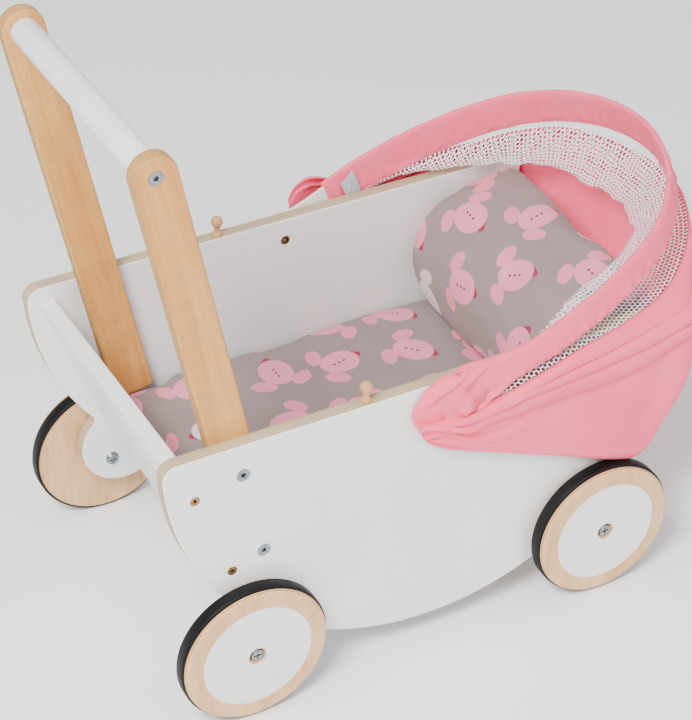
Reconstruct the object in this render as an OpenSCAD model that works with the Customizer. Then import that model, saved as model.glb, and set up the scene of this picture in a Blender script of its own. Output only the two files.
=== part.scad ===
// Doll pram: two round plywood sides screwed to two leaning end boards and a
// floor, a push handle bolted inside the sides, four disc wheels and a fabric
// hood on a bent bow that swings about a bolt through each side.
// +X points to the hood end, +Y to the pram's left, +Z up. The floor is z = 0.

/* [Cradle] */
// Radius of the round outline of the sides
cradle_r = 228; // [222:1:234]
// Height of the sides' straight top edge above the floor
top_h = 250; // [248:1:254]
// Thickness of the sides, end boards and handle arms
panel_t = 12; // [10:1:14]
// Clear width between the two sides
inner_w = 243; // [220:1:260]
// Rounding of the sides' top corners
corner_r = 12; // [8:1:18]
// Height of the floor board's upper face
floor_h = 105; // [103:1:106]
// Thickness of the floor board
floor_t = 9; // [6:1:9]
// Lean of the two end boards from upright, in degrees
board_lean = 20; // [18:1:22]
// Length of an end board along its lean
board_l = 150; // [140:1:154]

/* [Wheels] */
// Outer radius of the rubber tyre
tyre_r = 61.5; // [58:0.5:63]
// Radius of the wooden disc's outer lip
disc_r = 60; // [57:0.5:61]
// Thickness of a wheel
wheel_w = 17; // [15:1:20]
// Width of the tyre band
tyre_w = 11.5; // [9:0.5:13]
// Rear axle's distance behind the middle of the cradle
rear_axle = 164.5; // [162:0.5:167]
// Front axle's distance in front of the middle of the cradle
front_axle = 150; // [148:0.5:152]
// Radius of the round lobe that carries an axle
lobe_r = 37.5; // [34:0.5:38]
// Offset of a lobe's centre from its axle towards the middle of the cradle
lobe_shift = 17.5; // [16:0.5:18]

/* [Handle] */
// Height of the push bar's axis
bar_h = 485; // [450:1:500]
// Distance of the push bar's axis behind the middle of the cradle
bar_back = 216.5; // [214:0.5:219]
// Radius of the push bar
bar_r = 11; // [10:0.5:12]
// Width of a handle arm
arm_w = 34; // [32:1:36]
// Lean of the arms from upright, in degrees
arm_lean = 11.4; // [11:0.1:12]
// Length of an arm from the bar's axis to its lower end
arm_l = 361; // [356:1:364]

/* [Hood] */
// Height of the pivot bolts
pivot_h = 230; // [226:1:232]
// Lean of the bow from upright, in degrees
bow_lean = 70.5; // [66:0.5:72]
// Height of the bow along its own plane
bow_l = 283; // [276:1:288]
// Width of the bow strip
bow_w = 24; // [20:1:26]
// Thickness of the bow strip
bow_t = 3; // [2.5:0.5:3]
// Width of the fabric sleeve on the bow
sleeve_w = 34; // [32:1:35]

/* [Hidden] */
$fn = 96;
slack = 0.02;                       // radial room between a fastener and its hole
fabric_t = 1.2;
ease = 0.3;                         // room between fabric and what it covers
sleeve_o = bow_t/2 + ease + fabric_t;       // sleeve's face from the bow's middle line
edge_x = sleeve_w/2 + 1;            // hood cloth starts this far in front of the bow's plane

// Middle of the cradle, with the whole pram centred on x = 0
rear_reach = bar_back + arm_w/2;
front_reach = (edge_x + 1)*cos(bow_lean) + (bow_l + sleeve_o + fabric_t)*sin(bow_lean);
cradle_x = (rear_reach - front_reach)/2;
inner_y = inner_w/2;                // inner face of a side
outer_y = inner_y + panel_t;        // outer face of a side

// Paint and timber shades
white = [0.87, 0.87, 0.86];
honey = [0.84, 0.67, 0.47];
pink = [0.95, 0.62, 0.66];
steel = [0.72, 0.73, 0.75];
brass = [0.72, 0.55, 0.30];

// Fasteners
screw_r = 2;                        // wood screw's shank
screw_head_r = 4;
screw_head_h = 2.4;
screw_l = 42;
bolt_r = 3;                         // M6 bolt's shank
bolt_head_r = 5.5;
bolt_head_h = 3;
axle_head_r = 6;
axle_head_h = 2.6;
sleeve_nut_r = 4.5;                 // barrel that the wheel turns on
run_fit = 0.05;                     // radial clearance of a turning fit
insert_r = 4.2;
arm_insert_l = 9;
bar_insert_l = 15;
pivot_insert_l = 10;
washer_r = 9;
axle_washer_t = 2.5;
pivot_washer_t = 2;
dowel_r = 4;
dowel_l = 16;
wheel_gap = 2.8;                    // between a side and its wheels
arm_screw_down = [267.4, 346];      // the two arm bolts, down the arm from the bar's axis
screw_up = [42.4, 124.7];           // the two board screws, up the board from its foot
peg_x = cradle_x - 59;
peg_neck_r = 3;
peg_ball_r = 5;
peg_ball_up = 12.5;                 // ball's centre above the top edge
peg_sunk = 10;

axle_x = [cradle_x - rear_axle, cradle_x + front_axle];
foot_x = sqrt(pow(cradle_r, 2) - pow(top_h - 98, 2)) - 15.4;  // end board's lower inner edge
foot_h = 98;
leg_y = outer_y + pivot_washer_t + 0.1 + bow_t/2;             // bow's middle line at the pivot

// ---- Bow: its middle line is a straight leg, a slight flare, a shoulder and a crown
leg_h = 16;
flare = 8;
flare_r = 250;
crown_from = 22;
flare_y = leg_y + flare_r*(1 - cos(flare));
flare_h = leg_h + flare_r*sin(flare);
fit = (cos(flare) - cos(crown_from))*(1 - sin(crown_from))
    - cos(crown_from)*(sin(crown_from) + sin(flare));
shoulder_r = (flare_y*(1 - sin(crown_from)) - cos(crown_from)*(bow_l - flare_h))/fit;
crown_r = ((cos(flare) - cos(crown_from))*(bow_l - flare_h)
    - flare_y*(sin(crown_from) + sin(flare)))/fit;
crown_h = bow_l - crown_r;

// Points [y, height, lean] of the right half, from the pivot to the crown
bow_half = concat(
    [for (h = [0, leg_h/2, leg_h]) [leg_y, h, 0]],
    [for (a = [2:2:flare]) [leg_y + flare_r*(1 - cos(a)), leg_h + flare_r*sin(a), -a]],
    [for (a = [2 - flare:3:crown_from - 1])
        [flare_y + shoulder_r*(cos(a) - cos(flare)), flare_h + shoulder_r*(sin(a) + sin(flare)), a]],
    [for (a = [crown_from:4:90]) [crown_r*cos(a), crown_h + crown_r*sin(a), a]]);
function beside(p, o) = [p[0] + o*cos(p[2]), p[1] + o*sin(p[2])];
function mirrored(p) = [-p[0], p[1]];
function bow_side(o, from) = [for (p = bow_half) if (p[1] >= from) beside(p, o)];
function bow_path(o, from) = let (half = bow_side(o, from), n = len(half))
    concat(half, [for (i = [n - 1:-1:0]) mirrored(half[i])]);
function reversed(list) = [for (i = [len(list) - 1:-1:0]) list[i]];

// ---- Helpers
module to_y() { rotate([-90, 0, 0]) children(); }              // +Z of the child along +Y
module upright(y, t) { translate([0, y + t, 0]) rotate([90, 0, 0]) linear_extrude(t) children(); }
module both_sides() { children(); mirror([0, 1, 0]) children(); }
module in_bow() { translate([cradle_x, 0, pivot_h]) rotate([0, bow_lean, 0]) children(); }
module band(o1, o2, w, from = -1) {
    rotate([90, 0, 90]) linear_extrude(w, center = true)
        polygon(concat(bow_path(o2, from), reversed(bow_path(o1, from))));
}

// Countersunk screw or bolt, head at z = 0 and shank along +Z
module countersunk(head_r, head_h, shank_r, l) {
    difference() {
        union() {
            cylinder(h = head_h, r1 = head_r, r2 = shank_r);
            cylinder(h = l, r = shank_r);
        }
        translate([0, 0, -1]) cylinder(h = 1 + head_h*0.8, r = shank_r*0.75, $fn = 6);
    }
}
module countersunk_hole(head_r, head_h, shank_r, l) {
    translate([0, 0, -slack]) cylinder(h = head_h, r1 = head_r + 0.1, r2 = shank_r + 0.1);
    translate([0, 0, -1]) cylinder(h = l + 1, r = shank_r + slack);
}
module threaded_insert(l, r = insert_r) {
    difference() {
        cylinder(h = l, r = r);
        translate([0, 0, -1]) cylinder(h = l + 2, r = bolt_r + slack);
    }
}

// ---- Outline of a side, about the middle of the cradle
function lobe_at(x) = let (axle = [x, tyre_r - top_h]) axle*(1 - lobe_shift/norm(axle));
corner_x = sqrt(pow(cradle_r - corner_r, 2) - corner_r*corner_r);

module cradle_outline() {
    difference() {
        circle(cradle_r, $fn = 180);
        translate([-cradle_r - 1, 0]) square([2*cradle_r + 2, cradle_r + 1]);
        for (s = [0, 1]) mirror([s, 0])
            translate([corner_x, -corner_r*cradle_r/(cradle_r - corner_r)]) square(corner_r*3);
    }
    for (s = [-1, 1]) translate([s*corner_x, -corner_r]) circle(corner_r);
    for (x = [-rear_axle, front_axle]) translate(lobe_at(x)) circle(lobe_r);
}

// Places along the right side's outer face where something is screwed in
module at_arm_bolts() {
    for (d = arm_screw_down)
        translate([cradle_x - bar_back + d*sin(arm_lean), -outer_y, bar_h - d*cos(arm_lean)])
            to_y() children();
}
module at_board_screws() {
    for (end = [-1, 1], up = screw_up)
        translate([cradle_x + end*(foot_x + up*sin(board_lean) + panel_t/2*cos(board_lean)),
            -outer_y, foot_h + up*cos(board_lean) - panel_t/2*sin(board_lean)]) to_y() children();
}
module at_axles() { for (x = axle_x) translate([x, -outer_y, tyre_r]) to_y() children(); }
module at_pivot() { translate([cradle_x, -outer_y, pivot_h]) to_y() children(); }
module at_dowels() {
    for (x = [-110, 0, 110]) translate([cradle_x + x, -inner_y, floor_h - floor_t/2])
        to_y() children();
}

// ---- Tub
module side_panel() {
    color(white) difference() {
        translate([cradle_x, 0, top_h]) upright(-outer_y, panel_t) cradle_outline();
        at_arm_bolts() countersunk_hole(bolt_head_r, bolt_head_h, bolt_r, panel_t + 1);
        at_board_screws() countersunk_hole(screw_head_r, screw_head_h, screw_r, panel_t + 1);
        at_axles() translate([0, 0, -1]) cylinder(h = panel_t + 2, r = bolt_r + slack);
        at_pivot() translate([0, 0, -1]) cylinder(h = panel_t + 2, r = insert_r + slack);
        at_dowels() translate([0, 0, -dowel_l/2]) cylinder(h = dowel_l, r = dowel_r + slack);
        translate([peg_x, -outer_y + panel_t/2, top_h - peg_sunk])
            cylinder(h = peg_sunk + 1, r = peg_neck_r + slack);
    }
}
module side_panel_right() { side_panel(); }
module side_panel_left() { mirror([0, 1, 0]) side_panel(); }

module end_board(end) {
    color(white) difference() {
        translate([cradle_x + end*foot_x, -inner_y, foot_h]) rotate([0, end*board_lean, 0])
            translate([end > 0 ? 0 : -panel_t, 0, 0]) cube([panel_t, inner_w, board_l]);
        both_sides() at_board_screws() cylinder(h = screw_l + 0.5, r = screw_r + slack);
    }
}
module rear_board() { end_board(-1); }
module front_board() { end_board(1); }

floor_l = 2*(foot_x - 0.3 - (foot_h - floor_h + floor_t)*tan(board_lean));
module floor_board() {
    color(white) difference() {
        translate([cradle_x - floor_l/2, -inner_y, floor_h - floor_t])
            cube([floor_l, inner_w, floor_t]);
        both_sides() at_dowels() translate([0, 0, -1])
            cylinder(h = dowel_l/2 + 1.5, r = dowel_r*0.75 + slack);
    }
}
module floor_dowels() {
    color(honey) both_sides() at_dowels() {
        translate([0, 0, 0.5 - dowel_l/2]) cylinder(h = dowel_l/2 - 0.5, r = dowel_r);
        cylinder(h = dowel_l/2, r = dowel_r*0.75);
    }
}
module board_screws() {
    color(brass) both_sides() at_board_screws()
        countersunk(screw_head_r, screw_head_h, screw_r, screw_l);
}

// ---- Pegs on the top edges
module peg_right() {
    color(honey) translate([peg_x, -outer_y + panel_t/2, top_h]) {
        translate([0, 0, 0.5 - peg_sunk]) cylinder(h = peg_sunk + peg_ball_up, r = peg_neck_r - slack);
        cylinder(h = 2, r = peg_neck_r + 1.4);
        translate([0, 0, peg_ball_up]) sphere(peg_ball_r, $fn = 48);
    }
}
module peg_left() { mirror([0, 1, 0]) peg_right(); }

// ---- Handle
module handle_arm_right() {
    color(honey) difference() {
        translate([cradle_x - bar_back, 0, bar_h]) rotate([0, -arm_lean, 0])
            upright(-inner_y, panel_t) {
                circle(arm_w/2);
                translate([-arm_w/2, -arm_l]) square([arm_w, arm_l]);
            }
        at_arm_bolts() translate([0, 0, panel_t - 1])
            cylinder(h = arm_insert_l + 1.5, r = insert_r + slack);
        translate([cradle_x - bar_back, -inner_y, bar_h]) to_y()
            countersunk_hole(bolt_head_r, bolt_head_h, bolt_r, panel_t + 1);
    }
}
module handle_arm_left() { mirror([0, 1, 0]) handle_arm_right(); }

bar_end_y = inner_y - panel_t;
module at_bar_end() { translate([cradle_x - bar_back, -bar_end_y, bar_h]) to_y() children(); }
module handle_bar() {
    color(white) difference() {
        at_bar_end() cylinder(h = 2*bar_end_y, r = bar_r);
        both_sides() at_bar_end() translate([0, 0, -1])
            cylinder(h = bar_insert_l + 1.5, r = insert_r + slack);
    }
}
module bar_bolts() {
    color(steel) both_sides() at_bar_end() translate([0, 0, -panel_t])
        countersunk(bolt_head_r, bolt_head_h, bolt_r, panel_t + bar_insert_l - 2);
}
module bar_inserts() { color(brass) both_sides() at_bar_end() threaded_insert(bar_insert_l); }
module arm_bolts() {
    color(steel) both_sides() at_arm_bolts()
        countersunk(bolt_head_r, bolt_head_h, bolt_r, panel_t + arm_insert_l - 1);
}
module arm_inserts() {
    color(brass) both_sides() at_arm_bolts() translate([0, 0, panel_t]) threaded_insert(arm_insert_l);
}

// ---- Wheels, drawn about Z with the inner face at z = 0
lip_round = 3.5;
seat_r = disc_r - 1.5;
inner_lip = 1;
module disc_profile() {
    recess = axle_head_r + 0.8;
    recess_z = wheel_w - axle_head_h - 1;
    polygon(concat(
        [[sleeve_nut_r + run_fit, 0], [disc_r - 0.5, 0], [disc_r - 0.5, inner_lip], [seat_r, inner_lip],
         [seat_r, inner_lip + tyre_w], [disc_r, inner_lip + tyre_w]],
        [for (a = [0:10:90]) [disc_r - lip_round*(1 - cos(a)), wheel_w - lip_round*(1 - sin(a))]],
        [[recess, wheel_w], [recess, recess_z], [sleeve_nut_r + run_fit, recess_z]]));
}
module wheel_disc() { color(honey) rotate_extrude($fn = 180) disc_profile(); }
module tyre_band() {
    soft = 1.2;
    color("black") translate([0, 0, inner_lip + 0.05]) rotate_extrude($fn = 180)
        polygon([[seat_r + slack, 0], [tyre_r - soft, 0], [tyre_r, soft], [tyre_r, tyre_w - soft - 0.1],
            [tyre_r - soft, tyre_w - 0.1], [seat_r + slack, tyre_w - 0.1]]);
}
module right_wheel(i) { translate([axle_x[i], -outer_y - wheel_gap, tyre_r]) rotate([90, 0, 0]) children(); }
module left_wheel(i) { mirror([0, 1, 0]) right_wheel(i) children(); }
module wheel_rear_right() { right_wheel(0) wheel_disc(); }
module wheel_rear_left() { left_wheel(0) wheel_disc(); }
module wheel_front_right() { right_wheel(1) wheel_disc(); }
module wheel_front_left() { left_wheel(1) wheel_disc(); }
module tyre_rear_right() { right_wheel(0) tyre_band(); }
module tyre_rear_left() { left_wheel(0) tyre_band(); }
module tyre_front_right() { right_wheel(1) tyre_band(); }
module tyre_front_left() { left_wheel(1) tyre_band(); }

// Bolt from the inner face of each side into a sleeve nut that the wheel turns on
sleeve_nut_l = wheel_gap + wheel_w - 0.7;
module cross_recess(r, d) { for (a = [0, 90]) rotate(a) cube([2*r, r*0.4, 2*d], center = true); }
module axle_bolts() {
    color(steel) both_sides() at_axles() difference() {
        union() {
            translate([0, 0, panel_t]) cylinder(h = axle_head_h, r1 = axle_head_r, r2 = axle_head_r - 1.5);
            translate([0, 0, 4 - sleeve_nut_l]) cylinder(h = sleeve_nut_l + panel_t - 4, r = bolt_r);
        }
        translate([0, 0, panel_t + axle_head_h]) cross_recess(3.2, 1.4);
    }
}
module axle_sleeves() {
    color(steel) both_sides() at_axles() difference() {
        union() {
            translate([0, 0, -sleeve_nut_l]) cylinder(h = sleeve_nut_l, r = sleeve_nut_r);
            translate([0, 0, -sleeve_nut_l]) cylinder(h = axle_head_h, r1 = axle_head_r - 1.2, r2 = axle_head_r);
        }
        translate([0, 0, 4 - sleeve_nut_l]) cylinder(h = sleeve_nut_l, r = bolt_r + slack);
        translate([0, 0, -sleeve_nut_l]) cross_recess(3.2, 1.4);
    }
}
module ring(r, hole, t) {
    difference() {
        cylinder(h = t, r = r);
        translate([0, 0, -1]) cylinder(h = t + 2, r = hole);
    }
}
module axle_washers() {
    color(steel) both_sides() at_axles() translate([0, 0, -axle_washer_t])
        ring(washer_r, sleeve_nut_r + slack, axle_washer_t);
}

// ---- Hood
bow_out = leg_y + bow_t/2 - outer_y;           // bow's outer face beyond the side
module hood_bow() {
    color(white) difference() {
        union() {
            in_bow() band(-bow_t/2, bow_t/2, bow_w);
            both_sides() at_pivot() translate([0, 0, -bow_out]) cylinder(h = bow_t, r = bow_w/2 + 0.1);
        }
        both_sides() at_pivot() translate([0, 0, -bow_out - 1])
            cylinder(h = bow_t + 2, r = bolt_r + run_fit);
    }
}
module hood_pivot_bolts() {
    color(steel) both_sides() at_pivot() {
        translate([0, 0, -bow_out - 0.1 - axle_head_h]) cylinder(h = axle_head_h, r = axle_head_r);
        translate([0, 0, -bow_out - 0.2]) cylinder(h = bow_out + panel_t - 3, r = bolt_r);
    }
}
module hood_pivot_inserts() {
    color(steel) both_sides() at_pivot() translate([0, 0, panel_t - pivot_insert_l])
        threaded_insert(pivot_insert_l);
}
module hood_pivot_washers() {
    color(steel) both_sides() at_pivot() translate([0, 0, -pivot_washer_t])
        ring(washer_r, bolt_r + slack, pivot_washer_t);
}

sleeve_from = 48;
module hood_sleeve() {
    color(pink) in_bow() difference() {
        band(-sleeve_o, sleeve_o, sleeve_w, sleeve_from);
        band(-sleeve_o + fabric_t, sleeve_o - fabric_t, bow_w + 2*ease, sleeve_from - 20);
    }
}
module hood_tag() {
    tag = [for (p = bow_half) if (p[1] > 55 && p[1] < 80) p];
    color(white) in_bow() translate([2, 0, 0]) rotate([90, 0, 90]) linear_extrude(22, center = true)
        polygon(concat([for (p = tag) mirrored(beside(p, -sleeve_o - 0.2))],
            reversed([for (p = tag) mirrored(beside(p, -sleeve_o - 0.8))])));
}

// The cloth between the bow and the head end is a taut skin over the bow's edge, the
// two sides' round outlines and the hem that stands off under the head end
hem_front = [222, 162];
hem_side = [184, 116.5];
hem_rear = [-4, 198];
module hood_skin(o) {
    hull() {
        in_bow() translate([edge_x + 0.5, 0, 0]) rotate([90, 0, 90]) linear_extrude(1, center = true)
            polygon(bow_path(sleeve_o + o, -1));
        for (s = [-1, 1]) translate([cradle_x, s*(outer_y + 1 + o), top_h]) rotate([90, 0, 0])
            cylinder(h = 0.5, r = cradle_r + 1.2 + o, center = true, $fn = 72);
        translate([cradle_x + hem_front[0] - 8, 0, hem_front[1]]) rotate([90, 0, 0])
            cylinder(h = 2*(outer_y + 1 + o), r = 8 + o, center = true, $fn = 32);
    }
}
function on_bow(x, h) = [x*cos(bow_lean) + h*sin(bow_lean),
    pivot_h - x*sin(bow_lean) + h*cos(bow_lean)];
seam_lean = 13;                                 // seam between mesh and cover, from the bow's plane
far = bow_l + 60;
function on_seam(h, gap) = [h*sin(bow_lean + seam_lean) - gap*cos(bow_lean + seam_lean),
    pivot_h + h*cos(bow_lean + seam_lean) + gap*sin(bow_lean + seam_lean)];
seam_start = edge_x/sin(seam_lean);
module hood_cloth(outline) {
    color(pink) difference() {
        intersection() {
            hood_skin(fabric_t);
            translate([cradle_x, 0, 0]) upright(-200, 400) polygon(outline);
        }
        hood_skin(0);
    }
}
module hood_cover() {
    hood_cloth([on_bow(edge_x, -14), hem_rear, hem_side, hem_front,
        hem_front + (hem_front - hem_side)*2, on_seam(far, 0), on_seam(seam_start, 0),
        on_bow(edge_x, seam_start*cos(seam_lean))]);
}
module hood_mesh() {
    hood_cloth([on_seam(seam_start + 4, ease), on_seam(far, ease), on_bow(edge_x, far),
        on_bow(edge_x, seam_start*cos(seam_lean) + 4)]);
}

// ---- Cushions
pad_t = 36;
pad_half = foot_x - 1.5;
pad_y = inner_y - 1.5;
module mattress() {
    low = floor_h + ease;
    color([0.62, 0.58, 0.57]) difference() {
        translate([cradle_x, 0, 0]) upright(-pad_y, 2*pad_y)
            polygon([[-pad_half, low], [pad_half, low], [pad_half + 10, low + pad_t - 5],
                [pad_half + 5, low + pad_t], [-pad_half - 5, low + pad_t],
                [-pad_half - 10, low + pad_t - 5]]);
        for (s = [-1, 1]) translate([cradle_x - 180, s*(bar_end_y + 10) - 10.8, low - 1])
            cube([56, 21.6, pad_t + 2]);
    }
}
// Lowest front edge, lowest back edge and top edge of the pillow: [x, z, radius]
pillow_edges = [[128, 152.5, 10], [162, 152.5, 10], [199, 249, 7]];
pillow_y = inner_y - 4;
module pillow() {
    color([0.62, 0.58, 0.57]) hull() for (e = pillow_edges)
        translate([cradle_x + e[0], 0, e[1]]) rotate([90, 0, 0])
            cylinder(h = 2*pillow_y, r = e[2], center = true, $fn = 32);
}

side_panel_right();
side_panel_left();
rear_board();
front_board();
floor_board();
floor_dowels();
board_screws();
handle_arm_right();
handle_arm_left();
handle_bar();
bar_bolts();
bar_inserts();
arm_bolts();
arm_inserts();
peg_right();
peg_left();
wheel_rear_right();
wheel_rear_left();
wheel_front_right();
wheel_front_left();
tyre_rear_right();
tyre_rear_left();
tyre_front_right();
tyre_front_left();
axle_bolts();
axle_sleeves();
axle_washers();
hood_bow();
hood_pivot_bolts();
hood_pivot_inserts();
hood_pivot_washers();
hood_sleeve();
hood_mesh();
hood_cover();
hood_tag();
mattress();
pillow();
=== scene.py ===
import math
import bmesh
import bpy
from mathutils import Matrix, Vector, noise


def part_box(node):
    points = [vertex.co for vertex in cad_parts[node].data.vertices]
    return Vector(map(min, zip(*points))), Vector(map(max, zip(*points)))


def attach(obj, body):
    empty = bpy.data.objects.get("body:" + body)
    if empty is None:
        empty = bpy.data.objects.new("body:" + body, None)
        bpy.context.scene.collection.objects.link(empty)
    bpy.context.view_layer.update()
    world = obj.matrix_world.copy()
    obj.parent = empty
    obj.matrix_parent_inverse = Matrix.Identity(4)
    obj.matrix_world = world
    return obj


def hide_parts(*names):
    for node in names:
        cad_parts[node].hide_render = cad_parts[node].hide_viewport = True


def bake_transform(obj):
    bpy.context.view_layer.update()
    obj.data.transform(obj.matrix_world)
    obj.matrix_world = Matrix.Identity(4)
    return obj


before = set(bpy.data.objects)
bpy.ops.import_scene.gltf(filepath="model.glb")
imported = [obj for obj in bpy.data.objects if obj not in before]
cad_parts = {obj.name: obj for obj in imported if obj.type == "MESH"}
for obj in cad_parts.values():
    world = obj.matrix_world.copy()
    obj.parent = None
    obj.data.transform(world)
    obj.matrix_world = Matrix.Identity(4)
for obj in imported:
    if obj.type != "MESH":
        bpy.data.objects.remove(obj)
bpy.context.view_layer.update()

# ---- Where the pram is seen from
# High, behind and to the right of it, with a long lens and a slight tilt.
look = bpy.data.cameras.new("look")
look.lens, look.sensor_width = 122.72, 36
look.shift_x, look.shift_y = -0.0672, -0.0768
look.clip_end = 30
looker = bpy.data.objects.new("looker", look)
bpy.context.scene.collection.objects.link(looker)
looker.matrix_world = (Matrix.Translation((-0.78345, -1.40235, 1.34408))
                       @ Matrix.Rotation(math.radians(-29.6326), 4, "Z")
                       @ Matrix.Rotation(math.radians(90 - 34.6776), 4, "X")
                       @ Matrix.Rotation(math.radians(1.0952), 4, "Z"))
bpy.context.scene.camera = looker

# ---- The two sides
# 12 mm birch plywood sawn to a round outline with a lobe at each wheel and eased all round.
# The faces are painted white, the edges are left bare. Screws and bolts sit in round sinks.
cradle = Vector((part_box("hood_pivot_bolts")[0].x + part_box("hood_pivot_bolts")[1].x, 0, 0)) * 500
top, side_face, ply = 250.0, 121.5, 12.0
cradle_r, corner_r, lobe_r, hollow_r, lobe_in = 228.0, 12.0, 37.5, 6.0, 17.5
axles = {"rear": -164.5, "front": 150.0}
axle_z, pivot_z = 61.5, 230.0
arm_lean, bar_at = math.radians(11.4), Vector((-216.5, 0, 485))
board_lean, foot_z = math.radians(20), 98.0
foot = math.sqrt(cradle_r ** 2 - (top - foot_z) ** 2) - 15.4


def finished(bm, name, body, *finishes):
    """A piece worked in millimetres about the cradle's middle, set in its place in metres."""
    bmesh.ops.translate(bm, vec=cradle, verts=bm.verts)
    bmesh.ops.scale(bm, vec=(0.001,) * 3, verts=bm.verts)
    mesh = bpy.data.meshes.new(name)
    bm.to_mesh(mesh)
    bm.free()
    for finish in finishes:
        mesh.materials.append(finish)
    piece = bpy.data.objects.new(name, mesh)
    bpy.context.scene.collection.objects.link(piece)
    if body:
        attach(piece, body)
    return piece


def linear(*rgb):
    """A colour given 0 to 255, as light."""
    return tuple((c / 255 / 12.92) if c < 10.3 else ((c / 255 + 0.055) / 1.055) ** 2.4 for c in rgb) + (1,)


class Stuff:
    """A socket of a finish that can be worked with like a number."""

    def __init__(self, tree, socket):
        self.tree, self.socket = tree, socket

    def feed(self, target):
        """Links this into an input."""
        self.tree.links.new(self.socket, target)

    def node(self, kind, settings, values, out=0):
        """Any shader node with its settings and inputs, as one of its outputs."""
        made = self.tree.nodes.new("ShaderNode" + kind)
        for key, setting in settings.items():
            if key == "stops":
                ramp = made.color_ramp
                while len(ramp.elements) < len(setting):
                    ramp.elements.new(1)
                for stop, (place, colour) in zip(ramp.elements, setting):
                    stop.position, stop.color = place, colour
            else:
                setattr(made, key, setting)
        for key, value in values.items():
            if isinstance(value, Stuff):
                value.feed(made.inputs[key])
            else:
                made.inputs[key].default_value = value
        return Stuff(self.tree, made.outputs[out])

    def worked(self, operation, *others):
        """One step of arithmetic on this and the others."""
        return self.node("Math", {"operation": operation}, dict(enumerate((self,) + others)))

    def __add__(self, other):
        return self.worked("ADD", other)

    __radd__ = __add__

    def __mul__(self, other):
        return self.worked("MULTIPLY", other)

    __rmul__ = __mul__

    def __sub__(self, other):
        return self.worked("SUBTRACT", other)

    def __rsub__(self, other):
        return self.node("Math", {"operation": "SUBTRACT"}, {0: other, 1: self})

    def __truediv__(self, other):
        return self.worked("DIVIDE", other)

    def __gt__(self, other):
        return self.worked("GREATER_THAN", other)

    def __lt__(self, other):
        return self.worked("LESS_THAN", other)

    def tint(self, under, over):
        """From one colour to another as this goes from 0 to 1."""
        return self.node("Mix", {"data_type": "RGBA"}, {0: self, 6: under, 7: over}, 2)

    def step(self, low, high):
        """0 below low, 1 above high and smooth between."""
        return self.node("MapRange", {"interpolation_type": "SMOOTHSTEP"},
                         {"Value": self, "From Min": low, "From Max": high})

    def cloud(self, scale, detail=3.0, rough=0.5, stretch=(1, 1, 1), turn=(0, 0, 0)):
        """Soft noise on this place, the pattern turned and then stretched."""
        place = self.node("Mapping", {}, {"Vector": self, "Rotation": turn})
        place = place.node("Mapping", {}, {"Vector": place, "Scale": stretch})
        return self.node("TexNoise", {}, {"Vector": place, "Scale": scale, "Detail": detail, "Roughness": rough})

    def part(self, axis):
        """One of the three numbers of a place or colour."""
        return self.node("SeparateXYZ", {}, {0: self}, axis)


class Finish:
    """A material with its shader, its place on the object, and a few constants set."""

    def __init__(self, name, constants):
        self.made = bpy.data.materials.new(name)
        self.made.use_nodes = True
        self.tree = self.made.node_tree
        self.shader = self.tree.nodes["Principled BSDF"]
        for key, value in constants.items():
            self.shader.inputs[key].default_value = value
        maps = self.tree.nodes.new("ShaderNodeTexCoord")
        self.place = Stuff(self.tree, maps.outputs["Object"])
        self.flat = Stuff(self.tree, maps.outputs["UV"])

    def wear(self, **values):
        """Links what was worked out into the shader and gives the material."""
        for key, value in values.items():
            value.feed(self.shader.inputs[key.replace("_", " ")])
        return self.made

    def relief(self, height, strength, depth):
        """Small bumps, depth metres high at most."""
        return height.node("Bump", {}, {"Strength": strength, "Distance": depth, "Height": height})


def white_paint():
    """Sprayed satin paint over plywood."""
    f = Finish("white_paint", {"Specular IOR Level": 0.42})
    spread = f.place.cloud(9, 4, 0.6)
    orange_peel = f.place.cloud(420, 3, 0.55)
    grain = f.place.cloud(60, 5, 0.6, (0.12, 1, 1))
    shade = spread.step(0.3, 0.75).tint(linear(229, 229, 228), linear(237, 237, 236))
    return f.wear(Base_Color=shade, Roughness=0.33 + 0.1 * spread,
                  Normal=f.relief(orange_peel + grain * 1.5, 0.16, 0.0002))


def bare_ply(name, across, light, dark, layers=9):
    """Sawn edge of a plywood board: veneers lie one over another across its thickness."""
    f = Finish(name, {"Specular IOR Level": 0.3})
    depth = f.place.node("VectorMath", {"operation": "DOT_PRODUCT"}, {0: f.place, 1: across}, 1)
    wander = f.place.cloud(14, 3, 0.5) - 0.5
    layer = (depth * (layers / 0.012) + wander * 0.5).worked("FRACT")
    glue = (layer < 0.13)
    turn = (depth * (layers / 0.024) + wander * 0.25).worked("FRACT") > 0.5
    fleck = f.place.cloud(900, 3, 0.6)
    broad = f.place.cloud(35, 3, 0.6)
    tone = (turn * 0.45 + broad * 0.5 + fleck * 0.35).step(0.2, 1.1)
    shade = tone.tint(light, dark)
    shade = (glue * 0.35).tint(shade, linear(120, 95, 70))
    return f.wear(Base_Color=shade, Roughness=0.62 + 0.15 * fleck, Normal=f.relief(fleck - glue, 0.3, 0.0003))


paint = white_paint()
panel_edge = bare_ply("panel_edge", (0, 1, 0), linear(208, 188, 156), linear(160, 138, 108))


def arc(bm, at, centre, angle, steps):
    """Draws on from a corner round a centre and gives the new last corner."""
    drawn = bmesh.ops.spin(bm, geom=[at], cent=(centre.x, at.co.y, centre.z), axis=(0, 1, 0), angle=angle,
                           steps=steps, use_merge=False, use_duplicate=False)
    return [g for g in drawn["geom_last"] if isinstance(g, bmesh.types.BMVert)][0]


def bearing(p, centre):
    """The direction of a point from a centre, in the plane of a side."""
    return math.atan2(p.x - centre.x, p.z - centre.z)


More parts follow.
